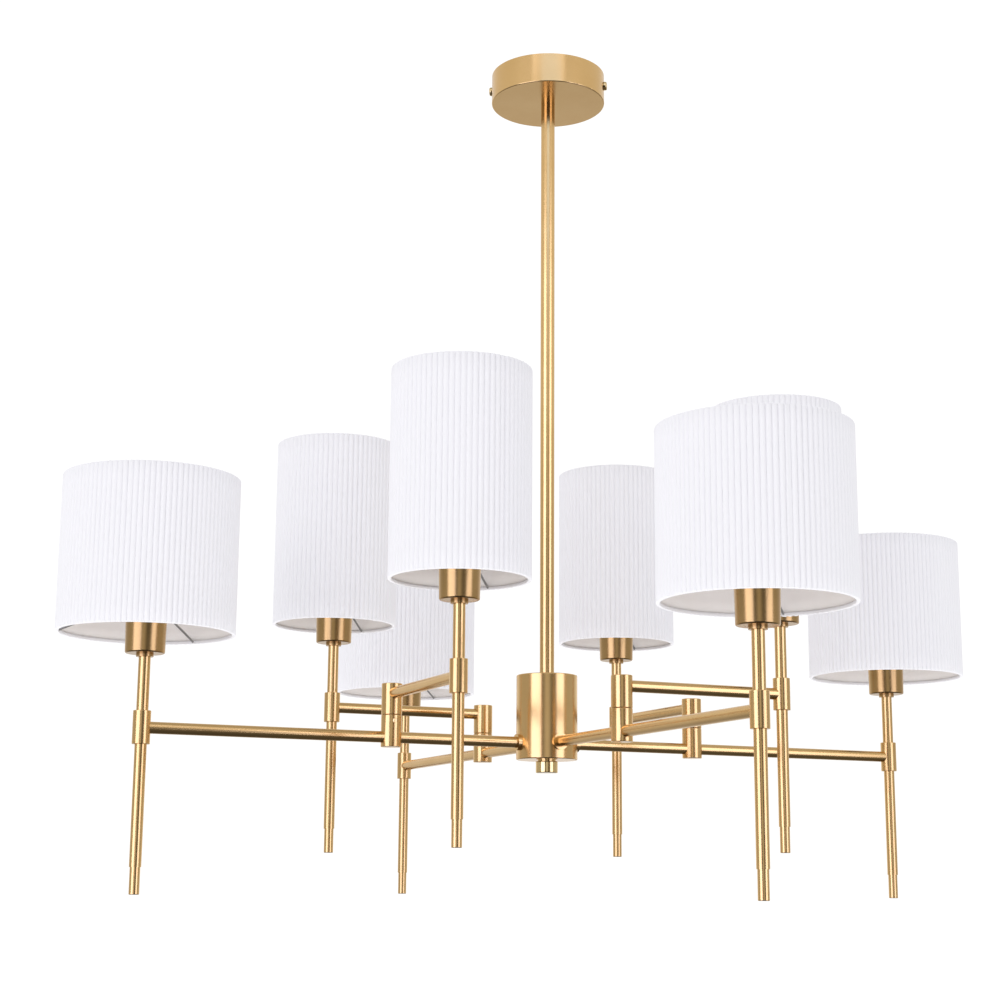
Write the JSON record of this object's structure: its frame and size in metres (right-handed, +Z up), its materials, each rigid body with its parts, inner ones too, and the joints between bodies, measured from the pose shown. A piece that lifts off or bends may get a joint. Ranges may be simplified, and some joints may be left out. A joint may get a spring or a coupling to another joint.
{
  "type": "multi arm chandelier",
  "caption": "Ceiling chandelier with a stem, a round hub, radial arms, swivelling side arms and upright posts with pleated fabric drum shades.",
  "frame": {"origin": "middle of the crossbar's top face, in the plane of the ceiling", "axes": "+Z up along the stem, main arm 1 along +X and main arm 2 along +Y"},
  "size_m": [0.976, 0.976, 0.859],
  "materials": {
    "brass": "satin brushed, lacquered",
    "zinc_steel": "zinc plated",
    "lampholder_plastic": "moulded, satin",
    "spider_wire": "grey lacquer",
    "pleated_fabric": "fine knife pleats, matt"
  },
  "bodies": {
    "frame": {"crossbar": "zinc_steel", "canopy": "brass", "canopy_knobs": "brass", "top_nipple": "zinc_steel", "stem_upper": "brass", "stem_coupler": "zinc_steel", "stem_lower": "brass", "hub_body": "brass", "hub_plate": "brass", "hub_nipple": "zinc_steel", "finial": "brass", "arm_ferrules": "brass", "arm_nuts": "zinc_steel", "swivel_bases": "brass", "swivel_set_screws": "zinc_steel", "main_cups": "brass", "main_lampholders": "lampholder_plastic", "main_spiders": "spider_wire", "main_shade_rings": "lampholder_plastic", "main_posts": "brass", "main_arm_1": "brass", "main_arm_2": "brass", "main_arm_3": "brass", "main_arm_4": "brass", "drum_shade_1": "pleated_fabric", "drum_shade_2": "pleated_fabric", "drum_shade_3": "pleated_fabric", "drum_shade_4": "pleated_fabric"},
    "side_arm_1": {"swivel_head_1": "brass", "side_arm_1": "brass", "side_post_1": "brass", "side_cup_1": "brass", "side_lampholder_1": "lampholder_plastic", "side_shade_ring_1": "lampholder_plastic", "side_spider_1": "spider_wire", "tall_shade_1": "pleated_fabric"},
    "side_arm_2": {"swivel_head_2": "brass", "side_arm_2": "brass", "side_post_2": "brass", "side_cup_2": "brass", "side_lampholder_2": "lampholder_plastic", "side_shade_ring_2": "lampholder_plastic", "side_spider_2": "spider_wire", "tall_shade_2": "pleated_fabric"},
    "side_arm_3": {"swivel_head_3": "brass", "side_arm_3": "brass", "side_post_3": "brass", "side_cup_3": "brass", "side_lampholder_3": "lampholder_plastic", "side_shade_ring_3": "lampholder_plastic", "side_spider_3": "spider_wire", "tall_shade_3": "pleated_fabric"},
    "side_arm_4": {"swivel_head_4": "brass", "side_arm_4": "brass", "side_post_4": "brass", "side_cup_4": "brass", "side_lampholder_4": "lampholder_plastic", "side_shade_ring_4": "lampholder_plastic", "side_spider_4": "spider_wire", "tall_shade_4": "pleated_fabric"}
  },
  "joints": [
    {"name": "side_arm_1_swivel", "type": "hinge", "parent": "frame", "child": "side_arm_1", "pos_m": [0.1645, 0, -0.689], "axis": [0, 0, 1], "range_deg": [-45, 45]},
    {"name": "side_arm_2_swivel", "type": "hinge", "parent": "frame", "child": "side_arm_2", "pos_m": [0, 0.1645, -0.689], "axis": [0, 0, 1], "range_deg": [-45, 45]},
    {"name": "side_arm_3_swivel", "type": "hinge", "parent": "frame", "child": "side_arm_3", "pos_m": [-0.1645, 0, -0.689], "axis": [0, 0, 1], "range_deg": [-45, 45]},
    {"name": "side_arm_4_swivel", "type": "hinge", "parent": "frame", "child": "side_arm_4", "pos_m": [0, -0.1645, -0.689], "axis": [0, 0, 1], "range_deg": [-45, 45]}
  ]
}
